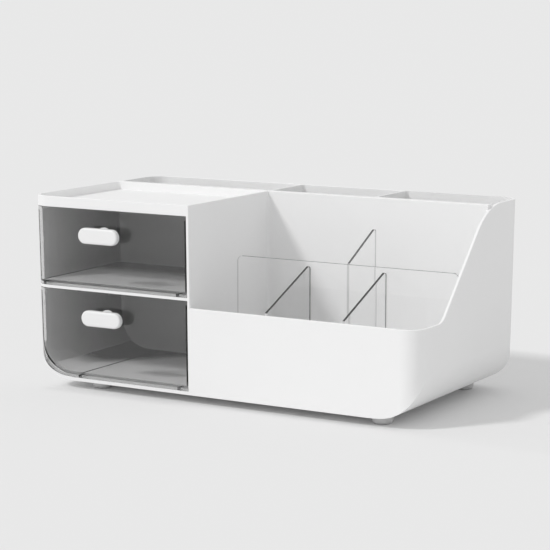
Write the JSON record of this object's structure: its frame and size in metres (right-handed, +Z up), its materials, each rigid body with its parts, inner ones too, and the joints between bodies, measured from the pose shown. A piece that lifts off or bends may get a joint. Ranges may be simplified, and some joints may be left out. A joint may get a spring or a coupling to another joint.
{
  "type": "desktop drawer organizer",
  "caption": "White desktop organizer with two smoked see-through drawers under a shallow tray, an open bin with clear lift-out dividers, and rear compartments.",
  "frame": {"origin": "on the table, under the middle of the whole organizer with its handles", "axes": "+X to the right as the drawers are faced, +Y to the back, +Z up"},
  "size_m": [0.36, 0.1966, 0.16],
  "materials": {
    "white_plastic": "fine matte white polypropylene",
    "foot_rubber": "soft white rubber",
    "smoked_plastic": "clear polystyrene tinted smoke grey, polished",
    "handle_plastic": "smooth white plastic with a low sheen",
    "screw_steel": "zinc-plated steel",
    "clear_acrylic": "clear acrylic sheet, polished"
  },
  "bodies": {
    "body": {"housing": "white_plastic", "foot_front_left": "foot_rubber", "foot_front_right": "foot_rubber", "foot_rear_left": "foot_rubber", "foot_rear_right": "foot_rubber"},
    "upper_drawer_unit": {"upper_drawer": "smoked_plastic", "upper_handle": "handle_plastic", "upper_handle_screw": "screw_steel"},
    "lower_drawer_unit": {"lower_drawer": "smoked_plastic", "lower_handle": "handle_plastic", "lower_handle_screw": "screw_steel"},
    "long_divider_sheet": {"long_divider": "clear_acrylic"},
    "front_left_divider_sheet": {"front_left_divider": "clear_acrylic"},
    "front_right_divider_sheet": {"front_right_divider": "clear_acrylic"},
    "rear_divider_sheet": {"rear_divider": "clear_acrylic"}
  },
  "joints": [
    {"name": "upper_drawer_slide", "type": "slide", "parent": "body", "child": "upper_drawer_unit", "axis": [0, -1, 0], "range_m": [0, 0.0955]},
    {"name": "lower_drawer_slide", "type": "slide", "parent": "body", "child": "lower_drawer_unit", "axis": [0, -1, 0], "range_m": [0, 0.0955]},
    {"name": "long_divider_lift", "type": "slide", "parent": "body", "child": "long_divider_sheet", "axis": [0, 0, 1], "range_m": [0, 0.06]},
    {"name": "front_left_divider_lift", "type": "slide", "parent": "body", "child": "front_left_divider_sheet", "axis": [0, 0, 1], "range_m": [0, 0.06]},
    {"name": "front_right_divider_lift", "type": "slide", "parent": "body", "child": "front_right_divider_sheet", "axis": [0, 0, 1], "range_m": [0, 0.06]},
    {"name": "rear_divider_lift", "type": "slide", "parent": "body", "child": "rear_divider_sheet", "axis": [0, 0, 1], "range_m": [0, 0.06]}
  ]
}
